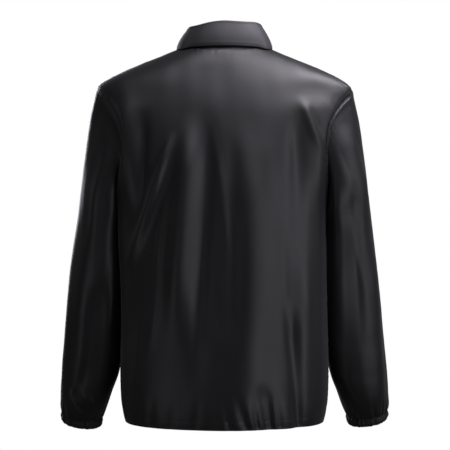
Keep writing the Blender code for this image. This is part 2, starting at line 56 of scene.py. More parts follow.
class Sock:  # one shader socket, which can take part in sums
    def __init__(self, tree, link):
        self.tree = tree
        self.link = link

    def node(self, kind, settings, inputs, out=0):
        made = self.tree.nodes.new(kind)
        for name, value in settings.items():
            setattr(made, name, value)
        for name, value in inputs.items():
            if isinstance(value, Sock):
                self.tree.links.new(value.link, made.inputs[name])
            else:
                made.inputs[name].default_value = value
        return Sock(self.tree, made.outputs[out])

    def sums(self, kind, first, second):
        return self.node("ShaderNodeMath", {"operation": kind}, {0: first, 1: second})

    def __add__(self, other):
        return self.sums("ADD", self, other)

    def __mul__(self, other):
        return self.sums("MULTIPLY", self, other)

    __radd__ = __add__
    __rmul__ = __mul__

    def noise(self, stretch, detail):
        place = self.node("ShaderNodeVectorMath", {"operation": "MULTIPLY"}, {0: self, 1: stretch})
        return self.node("ShaderNodeTexNoise", {}, {"Vector": place, "Scale": 1.0, "Detail": detail})

    def waves(self, direction, pitch, swerve):
        settings = {"wave_type": "BANDS", "bands_direction": direction, "wave_profile": "SIN"}
        scale = math.pi / 10 / pitch  # one wave to each pitch
        inputs = {"Vector": self, "Scale": scale, "Distortion": swerve}
        return self.node("ShaderNodeTexWave", settings, inputs)

    def spread(self, low, high):  # noise lies mostly between a quarter and three quarters
        return self.node("ShaderNodeMapRange", {}, {0: self, 1: 0.25, 2: 0.75, 3: low, 4: high})

    def tinted(self, dark, light):
        sides = {0: self, 6: (*dark, 1.0), 7: (*light, 1.0)}
        return self.node("ShaderNodeMix", {"data_type": "RGBA"}, sides, 2)

    def bump(self, height, strength):
        return self.node("ShaderNodeBump", {}, {"Height": self, "Distance": height, "Strength": strength})


def newMaterial(name, constants):
    made = bpy.data.materials.new(name)
    made.use_nodes = True
    shader = made.node_tree.nodes["Principled BSDF"]
    for socket, value in constants.items():
        shader.inputs[socket].default_value = value
    place = made.node_tree.nodes.new("ShaderNodeTexCoord").outputs["Object"]
    return made, shader, Sock(made.node_tree, place)


def feed(shader, sockets):
    for name, value in sockets.items():
        value.tree.links.new(value.link, shader.inputs[name])


# thin black nylon: upright threads, faint cloudy sheen
nylonLook = {
    "dark": (0.0034, 0.0033, 0.0038), "light": (0.0072, 0.0069, 0.0080), "rough": (0.41, 0.50),
    "threads": (1400.0, 1400.0, 90.0), "clouds": (22.0, 22.0, 7.0), "crinkle": (95.0, 95.0, 38.0),
    "weave": 0.0007, "swerve": 0.4, "bumpHeight": 0.0005, "bumpStrength": 0.22,
    "toneShares": (0.6, 0.4),  # clouds, threads
    "roughShares": (0.35, 0.25, 0.4),  # clouds, crinkle, threads
    "heightShares": (0.45, 0.12, 0.05),  # crinkle, threads, weave
    "constants": {"Specular IOR Level": 0.55, "Sheen Weight": 0.06, "Sheen Roughness": 0.4},
}
collarPaintedLightLook = {  # stiffer and more matt; its base colour is painted lighter than the body's nylon, as painted light on the fall
    **nylonLook, "dark": (0.0120, 0.0117, 0.0130), "light": (0.0190, 0.0184, 0.0205), "rough": (0.56, 0.64),
}


def nylonMaterial(name, look):
    made, shader, place = newMaterial(name, look["constants"])
    threads = place.noise(look["threads"], 2.0)
    clouds = place.noise(look["clouds"], 4.0)
    crinkle = place.noise(look["crinkle"], 3.0)
    weave = place.waves("Z", look["weave"], look["swerve"]) * place.waves("X", look["weave"], look["swerve"])
    tones, roughs, heights = look["toneShares"], look["roughShares"], look["heightShares"]
    tone = clouds * tones[0] + threads * tones[1]
    rough = clouds * roughs[0] + crinkle * roughs[1] + threads * roughs[2]
    height = crinkle * heights[0] + threads * heights[1] + weave * heights[2]
    feed(shader, {
        "Base Color": tone.spread(0.0, 1.0).tinted(look["dark"], look["light"]),
        "Roughness": rough.spread(*look["rough"]),
        "Normal": height.bump(look["bumpHeight"], look["bumpStrength"]),
    })
    return made


# elastic band: matt, with fine upright ribs
elasticLook = {
    "dark": (0.0065, 0.0064, 0.0070), "light": (0.0150, 0.0147, 0.0160), "rough": (0.50, 0.68),
    "ribs": (620.0, 620.0, 60.0), "fuzz": (1500.0, 1500.0, 1500.0), "fuzzShare": 0.3,
    "bumpHeight": 0.0006, "bumpStrength": 0.45,
    "constants": {"Specular IOR Level": 0.40, "Sheen Weight": 0.05},
}


def elasticMaterial(name, look):
    made, shader, place = newMaterial(name, look["constants"])
    ribs = place.noise(look["ribs"], 2.0)
    fuzz = place.noise(look["fuzz"], 2.0)
    tone = ribs * (1 - look["fuzzShare"]) + fuzz * look["fuzzShare"]
    feed(shader, {
        "Base Color": tone.spread(0.0, 1.0).tinted(look["dark"], look["light"]),
        "Roughness": ribs.spread(*look["rough"]),
        "Normal": (ribs + fuzz * look["fuzzShare"]).bump(look["bumpHeight"], look["bumpStrength"]),
    })
    return made


# sewing thread: dull twisted polyester
threadLook = {
    "dark": (0.0026, 0.0026, 0.0030), "light": (0.0062, 0.0060, 0.0066), "rough": (0.46, 0.60),
    "twist": (2600.0, 2600.0, 2600.0), "bumpHeight": 0.0002, "bumpStrength": 0.4,
    "constants": {"Specular IOR Level": 0.22, "Sheen Weight": 0.0},
}


def threadMaterial(name, look):
    made, shader, place = newMaterial(name, look["constants"])
    twist = place.noise(look["twist"], 1.0)
    feed(shader, {
        "Base Color": twist.spread(0.0, 1.0).tinted(look["dark"], look["light"]),
        "Roughness": twist.spread(*look["rough"]),
        "Normal": twist.bump(look["bumpHeight"], look["bumpStrength"]),
    })
    return made


# snap caps: satin black enamel, worn a little at random
snapLook = {
    "dark": (0.010, 0.010, 0.011), "light": (0.020, 0.020, 0.021), "rough": (0.20, 0.36),
    "wear": (420.0, 420.0, 420.0), "grain": (3000.0, 3000.0, 3000.0), "grainShare": 0.3,
    "bumpHeight": 0.0001, "bumpStrength": 0.25,
    "constants": {"Specular IOR Level": 0.6, "Coat Weight": 0.25},
}


def snapMaterial(name, look):
    made, shader, place = newMaterial(name, look["constants"])
    wear = place.noise(look["wear"], 4.0)
    grain = place.noise(look["grain"], 2.0)
    rough = wear * (1 - look["grainShare"]) + grain * look["grainShare"]
    feed(shader, {
        "Base Color": wear.spread(0.0, 1.0).tinted(look["dark"], look["light"]),
        "Roughness": rough.spread(*look["rough"]),
        "Normal": grain.bump(look["bumpHeight"], look["bumpStrength"]),
    })
    return made


nylon = nylonMaterial("blackNylon", nylonLook)
collarPaintedLightNylon = nylonMaterial("collarPaintedLightNylon", collarPaintedLightLook)
elastic = elasticMaterial("blackElastic", elasticLook)
thread = threadMaterial("blackThread", threadLook)
enamel = snapMaterial("blackEnamel", snapLook)
print("materials made")

# studio: soft boxes, white surround, pale floor well below the jacket
studio = {
    "key": {"place": (-1.23, 0.62, 1.43), "size": (1.0, 0.9), "power": 24.0},
    "upper": {"place": (-0.78, 1.16, 1.43), "size": (0.9, 0.9), "power": 10.5},
    "right": {"place": (-1.33, -0.19, 1.43), "size": (1.0, 0.9), "power": 26.0},
    "top": {"place": (0.00, 0.87, 1.74), "size": (0.9, 0.9), "power": 21.5},
    "side": {"place": (-1.99, 0.98, -0.11), "size": (0.9, 0.9), "power": 5.2},
    "low": {"place": (-1.33, 1.63, -1.05), "size": (0.9, 0.9), "power": 5.6},
    "left": {"place": (0.96, 1.01, 1.43), "size": (0.9, 0.9), "power": 1.6},
    "lowLeft": {"place": (1.46, 1.51, -1.05), "size": (0.9, 0.9), "power": 2.0},
    "rim": {"place": (2.06, -0.70, -0.11), "size": (0.9, 0.9), "power": 0.4},
    "front": {"place": (1.20, -2.40, 0.10), "size": (1.4, 1.4), "power": 30},
}
lightAim = Vector((0.0, 0.05, -0.30))
lightColour = (0.94, 0.91, 1.0)
surround = {  # lit: how much light the surround gives the jacket
    "lit": 0.055, "floorLevel": -2.6, "floorRadius": 3.0, "floorSides": 96, "floorGlow": 0.75,
    "floorRough": 0.7,
    "paintDark": (0.78, 0.78, 0.78), "paintLight": (0.82, 0.82, 0.82), "paintCloud": (3.0, 3.0, 3.0),
}

for name, box in studio.items():
    light = bpy.data.lights.new(name + "Light", "AREA")
    light.shape = "RECTANGLE"
    light.size, light.size_y = box["size"]
    light.energy = box["power"]
    light.color = lightColour
    lamp = bpy.data.objects.new(name + "Light", light)
    lamp.location = box["place"]
    lamp.rotation_euler = (lightAim - Vector(box["place"])).to_track_quat("-Z", "Y").to_euler()
    lamp.visible_camera = False
    bpy.context.scene.collection.objects.link(lamp)

world = bpy.data.worlds.new("whiteSurround")
world.use_nodes = True
sky = world.node_tree.nodes["Background"]
sky.inputs["Color"].default_value = (1.0, 1.0, 1.0, 1.0)
seen = Sock(world.node_tree, world.node_tree.nodes.new("ShaderNodeLightPath").outputs["Is Camera Ray"])
brightness = seen * (1.0 - surround["lit"]) + surround["lit"]
world.node_tree.links.new(brightness.link, sky.inputs["Strength"])
bpy.context.scene.world = world
bpy.context.scene.view_settings.view_transform = "Standard"

bpy.ops.object.select_all(action="DESELECT")
bpy.ops.mesh.primitive_circle_add(
    vertices=surround["floorSides"], radius=surround["floorRadius"], fill_type="NGON",
    location=(0.0, 0.0, surround["floorLevel"]),
)
floor = bpy.context.object
floor.name = "paleFloor"
paleConstants = {"Roughness": surround["floorRough"], "Emission Strength": surround["floorGlow"]}
pale, paleShader, palePlace = newMaterial("palePaint", paleConstants)
paleTone = palePlace.noise(surround["paintCloud"], 3.0).spread(0.0, 1.0)
paint = paleTone.tinted(surround["paintDark"], surround["paintLight"])
feed(paleShader, {"Base Color": paint, "Emission Color": paint})
floor.visible_diffuse = False  # the floor shows, and throws no light back
floor.visible_glossy = False
floor.data.materials.append(pale)
print("studio set")

# body: main cut of the torso, in metres; x to the wearer's left, front towards -y
body = {
    "length": 0.704, "casing": 0.017, "hemDip": 0.003, "underarm": 0.302, "shoulderDrop": 0.080,
    "neckHalf": 0.074, "backNeckDrop": 0.013, "frontNeckDrop": 0.078, "lapTurn": math.pi / 16,
    "armholeBack": 35.5, "armholeFront": 36.5, "armholeSkew": 0.28, "underarmClimb": 1.35, "rowSag": 0.10,
    "frontLift": 0.0021, "hemLift": 0.0045, "liftStart": 0.030, "liftEnd": 0.060, "cloth": 0.0010,
    "stillEdge": 0.055,
}
side = math.pi / 2
bodyNames = ("height", "halfWidth", "frontDepth", "roundness")
bodyRows = [
    (-0.704, 0.1865, 0.129, 2.3), (-0.687, 0.1905, 0.134, 2.3), (-0.66, 0.1945, 0.139, 2.3),
    (-0.61, 0.196, 0.142, 2.3), (-0.5, 0.1935, 0.144, 2.28), (-0.4, 0.1915, 0.145, 2.25),
    (-0.335, 0.1908, 0.145, 2.22), (-0.302, 0.193, 0.143, 2.2), (-0.25, 0.2075, 0.137, 2.15),
    (-0.19, 0.228, 0.123, 2.1), (-0.13, 0.241, 0.103, 2.05), (-0.0925, 0.244, 0.088, 2.0),
    (-0.08, 0.24, 0.083, 2.0), (-0.07, 0.231, 0.08, 2.0), (-0.0586, 0.2132, 0.076, 2.0),
    (-0.036, 0.1632, 0.067, 2.0), (-0.0133, 0.1066, 0.058, 2.0), (0.0, 0.074, 0.052, 2.0),
]
# how far the back stands behind the shoulders: height, depth
backRows = [
    (-0.704, 0.1335), (-0.687, 0.1368), (-0.66, 0.14), (-0.61, 0.143), (-0.5, 0.143), (-0.4, 0.142),
    (-0.335, 0.1408), (-0.302, 0.1388), (-0.25, 0.1346), (-0.22, 0.1313), (-0.19, 0.1272),
    (-0.16, 0.1222), (-0.13, 0.116), (-0.11, 0.111), (-0.0925, 0.106), (-0.07, 0.0988), (-0.0586, 0.0948),
    (-0.036, 0.0866), (-0.0133, 0.0765), (0.0, 0.069),
]
backHeights, backDepths = np.array(backRows).T
# where the back lies flatter behind each shoulder, and by what share
shoulder = {"x": 0.19, "z": -0.083, "width": 0.055, "tall": 0.028, "left": 0.05, "right": 0.12}
bodyCurves = dict(zip(bodyNames, np.array(bodyRows).T))
bodyMiddle = np.array([0.0, 0.0, -body["length"] / 2])

# large folds and finer creases: x and z at the top, x and z at the bottom, bow, width, rise
backFolds = [
    (0.06, -0.125, 0.098, -0.59, 0.0, 0.02, 0.013), (0.026, -0.125, 0.054, -0.66, 0.0, 0.015, -0.009),
    (-0.015, -0.145, -0.02, -0.6, 0.0, 0.014, -0.0042),
    (-0.044, -0.135, -0.042, -0.82, -0.004, 0.038, 0.011), (0.181, -0.06, 0.18, -0.56, 0.0, 0.021, 0.009),
    (0.148, -0.118, 0.152, -0.37, 0.0, 0.01, -0.0065), (0.091, -0.16, 0.176, -0.43, 0.0, 0.0085, 0.0105),
    (-0.13, -0.105, -0.142, -0.5, -0.003, 0.018, -0.0085),
    (-0.173, -0.125, -0.177, -0.76, 0.0, 0.011, 0.004),
    (-0.139, -0.098, -0.184, -0.22, 0.0, 0.009, 0.0042),
    (-0.155, -0.115, -0.186, -0.195, 0.0, 0.006, -0.002),
    (-0.12, -0.46, -0.15, -0.82, 0.002, 0.013, -0.0085),
    (-0.064, -0.61, -0.09, -0.78, 0.0, 0.016, -0.004), (0.184, -0.02, 0.184, -0.48, 0.0, 0.05, 0.004),
    (0.01, -0.48, 0.004, -0.86, 0.0, 0.045, 0.006), (-0.142, -0.21, -0.15, -0.68, 0.0, 0.02, 0.008),
]
backCreases = [
    (0.096, -0.25, 0.146, -0.6, 0.0, 0.0095, 0.007), (0.025, -0.13, -0.016, -0.46, 0.0, 0.006, 0.0036),
    (-0.104, -0.3, -0.128, -0.64, 0.002, 0.0085, -0.0016),
    (0.04, -0.33, 0.06, -0.64, 0.004, 0.009, -0.001), (0.15, -0.48, 0.168, -0.69, 0.004, 0.008, 0.002),
    (0.182, -0.12, 0.183, -0.9, 0.0, 0.0045, 0.0036),
]
frontLeftFolds = [
    (0.15, -0.13, 0.11, -0.42, 0.01, 0.022, 0.0055), (0.075, -0.2, 0.085, -0.76, 0.006, 0.03, 0.005),
    (0.14, -0.42, 0.12, -0.74, -0.006, 0.02, -0.0045),
]
frontLeftCreases = [
    (0.16, -0.12, 0.188, -0.26, 0.004, 0.006, -0.002), (0.13, -0.15, 0.16, -0.33, 0.008, 0.007, 0.0022),
    (0.05, -0.23, 0.058, -0.56, 0.004, 0.009, -0.0015), (0.1, -0.38, 0.112, -0.69, -0.004, 0.008, 0.0016),
    (0.158, -0.48, 0.17, -0.69, 0.004, 0.008, 0.0014),
]
frontRightFolds = [
    (-0.146, -0.14, -0.1, -0.46, -0.008, 0.02, 0.0055),
    (-0.068, -0.24, -0.09, -0.76, 0.008, 0.028, 0.005),
    (-0.15, -0.4, -0.128, -0.7, 0.006, 0.022, -0.0045),
]
frontRightCreases = [
    (-0.164, -0.115, -0.19, -0.25, -0.004, 0.006, -0.002),
    (-0.126, -0.16, -0.164, -0.34, -0.008, 0.007, 0.0022),
    (-0.046, -0.25, -0.052, -0.6, -0.004, 0.009, -0.0015),
    (-0.11, -0.36, -0.1, -0.66, 0.004, 0.008, 0.0016), (-0.16, -0.5, -0.17, -0.69, -0.004, 0.008, 0.0014),
]
# sleevePucker and valley are given for each hand, left 1 and right -1; valley is how a sleeve drops behind
# the panel: depth, reach, start, and the turns from the shoulder's tip where it begins and is full
seams = {
    "groove": 0.0007, "grooveWidth": 0.0030, "pucker": 0.0010, "puckerReach": 0.007, "puckerPitch": 0.0110,
    "sleevePucker": {1: 0.7, -1: 1.8}, "sideSeam": 0.35, "secondSide": 0.3, "topPucker": 0.7, "topReach": 0.6,
    "valley": {1: (0.012, 0.100, 0.007, 0.15, 0.60), -1: (0.011, 0.045, 0.004, 0.50, 1.50)},
    "valleyEnds": (2.3, 3.0), "frontValley": 0.5,
}
stripes = {  # short ridges beside the right armhole
    "rise": 0.0014, "pitch": 0.013, "slant": 0.6, "reach": 0.026, "begin": (0.15, 0.45), "end": (1.4, 2.0),
}
foldFade = {"in": 0.24, "out": 0.55}  # shares of a fold's length
# how a crease fades, widens and wanders along its length
creaseFade = {"in": 0.40, "out": 0.50, "uneven": 0.25, "least": 0.85, "spread": 0.55, "wander": 0.5}
slack = {  # low waves all over the cloth, none near a seam
    "waves": 26, "upright": 0.28, "pitch": (0.028, 0.090), "cloth": 0.00020, "collar": 0.00016, "calm": 0.02,
}


def flow(keys, values, at):  # smooth curve through values, never past them
    step = np.diff(keys)
    slope = np.diff(values) / step
    before, after = slope[:-1], slope[1:]
    sameWay = before * after > 0
    bend = np.where(sameWay, 2 * before * after / np.where(sameWay, before + after, 1.0), 0.0)
    tangent = np.concatenate([slope[:1], bend, slope[-1:]])
    spot = np.clip(np.searchsorted(keys, at, side="right") - 1, 0, len(step) - 1)
    t = np.clip((at - keys[spot]) / step[spot], 0.0, 1.0)
    rise = values[spot + 1] - values[spot]
    start, end = tangent[spot] * step[spot], tangent[spot + 1] * step[spot]
    return values[spot] + t * (start + t * (3 * rise - 2 * start - end + t * (start + end - 2 * rise)))


def eased(low, high, value):
    t = np.clip((value - low) / (high - low), 0.0, 1.0)
    return t * t * (3 - 2 * t)


def unit(vectors):
    return vectors / np.linalg.norm(vectors, axis=-1, keepdims=True)


def levelled(vectors):
    return unit(vectors * np.array([1.0, 1.0, 0.0]))


def signedPower(value, power):
    return np.sign(value) * np.abs(value) ** power


def bodySize(name, height):
    return flow(bodyCurves["height"], bodyCurves[name], height)


def bodyPoint(lean, height, front):
    power = 2.0 / bodySize("roundness", height)
    depth = -bodySize("frontDepth", height) if front else flow(backHeights, backDepths, height)
    across = bodySize("halfWidth", height) * signedPower(np.sin(lean), power)
    if not front:  # the back lies flatter behind each shoulder
        off = (np.abs(across) - shoulder["x"]) / shoulder["width"]
        up = (height - shoulder["z"]) / shoulder["tall"]
        share = np.where(across > 0, shoulder["left"], shoulder["right"])
        depth = depth * (1 - share * np.exp(-off * off - up * up))
    return np.stack([across, depth * signedPower(np.cos(lean), power), height], axis=-1)


def bodyLean(across, height):
    share = np.clip(np.abs(across) / bodySize("halfWidth", height), 0.0, 1.0)
    return np.sign(across) * np.arcsin(share ** (bodySize("roundness", height) / 2.0))


def neckline(turn, front):
    height = -(body["frontNeckDrop"] if front else body["backNeckDrop"]) * np.cos(turn) ** 2
    return bodyLean(body["neckHalf"] * np.sin(turn), height), height


def armhole(turn, front):
    middle = -(body["underarm"] + body["shoulderDrop"]) / 2
    half = (body["underarm"] - body["shoulderDrop"]) / 2
    spread = math.radians(body["armholeFront"] if front else body["armholeBack"])
    away = spread * np.sin(turn) * (1 - body["armholeSkew"] * np.cos(turn))
    lower = half * (np.clip(turn / side, 0.0, 1.0) ** body["underarmClimb"] - 1.0)
    return side - away, middle + np.where(turn < side, lower, -half * np.cos(turn))


def hemDip(lean, front):
    return 0.0 * lean if front else body["hemDip"] * np.cos(lean)


def laidFlat(lean, height):
    return np.stack([lean / side * bodySize("halfWidth", height), height], axis=-1)


def foldRise(folds, across, up):  # broad soft folds
    total = np.zeros_like(across)
    for xTop, zTop, xBottom, zBottom, bow, width, rise in folds:
        t = (up - zTop) / (zBottom - zTop)
        middle = xTop + (xBottom - xTop) * t + bow * 4 * t * (1 - t)
        fade = eased(0.0, foldFade["in"], t) * (1 - eased(foldFade["out"], 1.0, t))
        total = total + rise * fade * np.exp(-(((across - middle) / width) ** 2))
    return total


def creaseRise(creases, across, up):  # finer, uneven, with a tighter crest
    total = np.zeros_like(across)
    for number, (xTop, zTop, xBottom, zBottom, bow, width, rise) in enumerate(creases):
        t = (up - zTop) / (zBottom - zTop)
        wander = creaseFade["wander"] * width * np.sin(6.3 * t + 2.1 * number)
        middle = xTop + (xBottom - xTop) * t + bow * 4 * t * (1 - t) + wander
        wide = width * (creaseFade["least"] + creaseFade["spread"] * np.clip(t, 0.0, 1.0))
        off = np.abs(across - middle) / wide
        uneven = creaseFade["least"] + creaseFade["uneven"] * np.sin(9.1 * t + 1.7 * number)
        fade = eased(0.0, creaseFade["in"], t) * (1 - eased(creaseFade["out"], 1.0, t)) * uneven
        total = total + rise * fade * np.exp(-1.9 * (np.sqrt(off * off + 0.20) - 0.447))  # 1 at the crest
    return total


def slackRise(points, seed, height):  # low waves all over thin cloth, longer up and down than across
    dice = np.random.default_rng(seed)
    total = np.zeros(points.shape[:-1])
    for _ in range(slack["waves"]):
        way = dice.normal(size=3) * np.array([1.0, 1.0, slack["upright"]])
        pitch = dice.uniform(*slack["pitch"])
        total = total + np.sin(points @ (unit(way) * 2 * math.pi / pitch) + dice.uniform(0.0, 2 * math.pi))
    return total * height / math.sqrt(slack["waves"] / 2)


def ripple(along, pitch, seed):  # uneven small gathers along a seam
    turn = 2 * math.pi * along / pitch
    shift = 1.3 * np.sin(turn / 3.7 + seed) + 0.7 * np.sin(turn / 7.9 + 2 * seed)
    # odd lengths, so that it hardly repeats
    return np.sin(turn + shift) * (0.62 + 0.38 * np.sin(turn / 5.3 + 3 * seed))


def puckers(gap, along, reach, pitch, seed):  # nothing at the seam, most a little way off it, then dying out
    return gap / reach * np.exp(1 - gap / reach) * ripple(along, pitch, seed)


def gridNormals(points, closed=False):
    around = np.gradient(points, axis=1)
    if closed:
        around = np.roll(points, -1, axis=1) - np.roll(points, 1, axis=1)
    return unit(np.cross(around, np.gradient(points, axis=0)))


def outward(points, normals, centre):
    return normals if np.sum((points - centre) * normals) > 0 else -normals


def lengths(points, axis):  # length along each line of a grid, from its first point
    steps = np.linalg.norm(np.diff(points, axis=axis), axis=-1)
    start = np.zeros_like(steps[:1] if axis == 0 else steps[:, :1])
    return np.concatenate([start, np.cumsum(steps, axis=axis)], axis=axis)


def spaced(count, closeFirst, closeLast):  # 0 to 1, with closer steps beside a seam
    close = np.array([0.0015, 0.0040, 0.0080, 0.0125])
    parts = [np.linspace(0.0, 1.0, count + 1)]
    parts += [close] if closeFirst else []
    parts += [1 - close] if closeLast else []
    return np.unique(np.concatenate(parts))


def turnOut(mesh):  # faces point outward and are shaded smooth
    shaping = bmesh.new()
    shaping.from_mesh(mesh)
    bmesh.ops.recalc_face_normals(shaping, faces=shaping.faces[:])
    shaping.to_mesh(mesh)
    shaping.free()
    mesh.shade_smooth()


# one mesh from two skins of cloth and their rims
def clothShell(name, outer, inner, closed, material):
    rows, columns = outer.shape[:2]
    index = np.arange(rows * columns).reshape(rows, columns)
    if closed:
        index = np.concatenate([index, index[:, :1]], axis=1)
    quads = np.stack([index[:-1, :-1], index[:-1, 1:], index[1:, 1:], index[1:, :-1]], axis=-1).reshape(-1, 4)
    points = np.concatenate([outer.reshape(-1, 3), inner.reshape(-1, 3)])
    corners = points[quads]
    facing = np.cross(corners[:, 2] - corners[:, 0], corners[:, 3] - corners[:, 1])
    away = (outer - inner).reshape(-1, 3)[quads].mean(axis=1)
    if np.sum(facing * away) < 0:
        quads = quads[:, ::-1]
    faces = [quads, quads[:, ::-1] + rows * columns]
    edges = [index[0], index[-1]] + ([] if closed else [index[:, 0], index[:, -1]])
    for edge in edges:
        behind = edge + rows * columns
        faces.append(np.stack([edge[:-1], edge[1:], behind[1:], behind[:-1]], axis=-1))
    mesh = bpy.data.meshes.new(name)
    mesh.from_pydata(points, [], np.concatenate(faces).tolist())
    made = bpy.data.objects.new(name, mesh)
    bpy.context.scene.collection.objects.link(made)
    turnOut(mesh)
    mesh.set_sharp_from_angle(angle=math.radians(60))  # rims stay crisp
    mesh.materials.append(material)
    return made


def settle(piece, node):  # the piece stands for its CAD node and moves with it
    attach(piece, "root")
    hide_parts(node)
    return piece


# lean and height over half the back or one front; u to the side, r up the side seam
def halfPanel(front, u, r):
    casing = -body["length"] + body["casing"]
    armLeans, armHeights = armhole(np.clip(r - 1, 0.0, 1.0) * math.pi, front)
    outerHeights = np.where(r <= 1, casing + (-body["underarm"] - casing) * r, armHeights)
    outerLeans = np.where(r <= 1, side, armLeans)
    neckShare = 9 / 18 if front else 8 / 17  # of the top edge
    first = -body["lapTurn"] if front else 0.0
    neckLeans, neckHeights = neckline(first + (side - first) * np.clip(u / neckShare, 0.0, 1.0), front)
    along = np.clip((u - neckShare) / (1 - neckShare), 0.0, 1.0)
    topLeans = np.where(u < neckShare, neckLeans, side)
    topHeights = np.where(u < neckShare, neckHeights, -body["shoulderDrop"] * along)
    climb = (outerHeights - casing) / (outerHeights[-1] - casing)
    lowest = casing - hemDip(0.0, front)
    innerHeights = lowest + (neckHeights[0] - lowest) * (climb - body["rowSag"] * np.sin(math.pi * climb))
    innerLeans = bodyLean(np.full_like(climb, body["neckHalf"] * math.sin(first)), innerHeights)
    bottomLeans = innerLeans[0] + (side - innerLeans[0]) * u
    bottom = laidFlat(bottomLeans, casing - hemDip(bottomLeans, front))
    top = laidFlat(topLeans, topHeights)
    inner, outer = laidFlat(innerLeans, innerHeights), laidFlat(outerLeans, outerHeights)
    v, w = climb[:, None, None], u[None, :, None]
    innerBend = inner[:, None] - (1 - v) * inner[0] - v * inner[-1]
    outerBend = outer[:, None] - (1 - v) * outer[0] - v * outer[-1]
    flat = (1 - v) * bottom[None] + v * top[None] + (1 - w) * innerBend + eased(0.4, 1.0, w) * outerBend
    return flat[..., 0] / bodySize("halfWidth", flat[..., 1]) * side, flat[..., 1]


def lifted(points, lift):  # left front, moved forward where it laps over the right one
    moved = points.copy()
    moved[..., 1] -= lift * (1 - eased(body["liftStart"], body["liftEnd"], points[..., 0]))
    return moved


# share: 0 to 1 across, so edges keep still
def foldedPanel(lean, height, front, folds, creases, share, lift):
    points = bodyPoint(lean, height, front)
    normals = levelled(outward(points, gridNormals(points), bodyMiddle))
    kept = eased(0.0, body["stillEdge"], share) * eased(0.0, body["stillEdge"], 1 - share)
    across, up = points[..., 0], points[..., 2]
    rise = foldRise(folds, across, up) + creaseRise(creases, across, up)
    return lifted(points + normals * (kept * rise)[..., None], lift)


sideRows = spaced(80, True, False)
armRows = 60
panelRows = np.concatenate([sideRows, 1 + np.linspace(0.0, 1.0, armRows + 1)[1:]])
backHalf = spaced(64, False, True)
frontAcross = spaced(60, True, True)

halfLean, halfHeight = halfPanel(False, backHalf, panelRows)
backLean = np.concatenate([-halfLean[:, :0:-1], halfLean], axis=1)
backHeight = np.concatenate([halfHeight[:, :0:-1], halfHeight], axis=1)
backShare = (np.concatenate([-backHalf[:0:-1], backHalf]) + 1) / 2
frontLean, frontHeight = halfPanel(True, frontAcross, panelRows)
grids = {
    "back": foldedPanel(backLean, backHeight, False, backFolds, backCreases, backShare, 0.0),
    "frontLeft": foldedPanel(
        frontLean, frontHeight, True, frontLeftFolds, frontLeftCreases, frontAcross, body["frontLift"]
    ),
    "frontRight": foldedPanel(
        -frontLean, frontHeight, True, frontRightFolds, frontRightCreases, frontAcross, 0.0
    ),
}
print("panels cut")

# sleeves: rings from armhole to cuff
ringNames = ("outerX", "outerZ", "innerX", "innerZ", "middleY", "halfDepth", "backDrop")
sleeveRings = [
    (0.24, -0.08, 0.193, -0.302, 0.0, 0.08, 0.0), (0.2541, -0.14, 0.1938, -0.309, -0.006, 0.081, 0.0),
    (0.264, -0.207, 0.1928, -0.318, -0.014, 0.082, 0.001),
    (0.2722, -0.27, 0.1921, -0.33, -0.023, 0.081, 0.002),
    (0.2815, -0.34, 0.1917, -0.355, -0.032, 0.08, 0.004),
    (0.2902, -0.41, 0.1915, -0.418, -0.038, 0.077, 0.008),
    (0.2987, -0.48, 0.1918, -0.482, -0.045, 0.073, 0.012),
    (0.306, -0.552, 0.1932, -0.55, -0.056, 0.068, 0.014),
    (0.3124, -0.608, 0.1996, -0.605, -0.066, 0.063, 0.014),
    (0.3158, -0.652, 0.2155, -0.652, -0.073, 0.056, 0.012),
    (0.3168, -0.68, 0.2262, -0.684, -0.078, 0.048, 0.01),
    (0.315, -0.697, 0.237, -0.707, -0.081, 0.039, 0.009),
]
cuffRings = [
    (0.315, -0.697, 0.237, -0.707, -0.081, 0.039, 0.009),
    (0.316, -0.706, 0.2368, -0.715, -0.083, 0.039, 0.009),
    (0.312, -0.715, 0.2395, -0.724, -0.085, 0.036, 0.008),
]
# sleeve folds: turn from the outer line over the back and ring number at the top, the same at the bottom,
# bow, width, rise
leftSleeveFolds = [
    (0.75, 0.8, 1.0, 5.5, 0.1, 0.3, -0.005), (0.35, 3.5, 0.55, 10.0, 0.06, 0.28, 0.0045),
    (1.55, 5.0, 1.2, 10.0, 0.1, 0.22, -0.004), (4.4, 4.5, 5.1, 7.5, 0.2, 0.26, -0.006),
    (4.9, 1.0, 4.6, 4.5, 0.1, 0.26, 0.0045),
]
leftSleeveCreases = [
    (1.05, 0.9, 1.35, 4.2, 0.06, 0.12, 0.0012), (0.5, 1.2, 0.62, 5.0, 0.04, 0.13, -0.001),
    (1.8, 3.0, 1.3, 6.4, 0.08, 0.12, 0.0012), (0.8, 8.4, 1.51, 10.5, 0.0, 0.1, 0.0042),
    (1.05, 8.4, 1.7, 10.4, 0.0, 0.11, -0.0034), (1.35, 8.2, 1.92, 10.2, 0.0, 0.1, 0.0036),
    (4.2, 3.4, 5.0, 6.2, 0.16, 0.09, 0.0026), (4.6, 6.4, 5.3, 9.0, 0.12, 0.085, 0.0022),
    (5.6, 2.0, 5.4, 7.0, 0.06, 0.09, -0.0018), (3.6, 5.0, 3.9, 9.4, 0.06, 0.09, 0.0018),
]
rightSleeveFolds = [
    (0.9, 0.6, 0.7, 4.5, -0.08, 0.24, 0.0045), (1.3, 2.0, 1.45, 8.0, 0.08, 0.26, -0.005),
    (0.6, 4.0, 0.85, 10.0, 0.08, 0.28, 0.0045), (4.5, 4.8, 5.0, 7.8, 0.2, 0.26, -0.006),
    (4.8, 1.2, 4.7, 4.5, 0.1, 0.26, 0.0045),
]
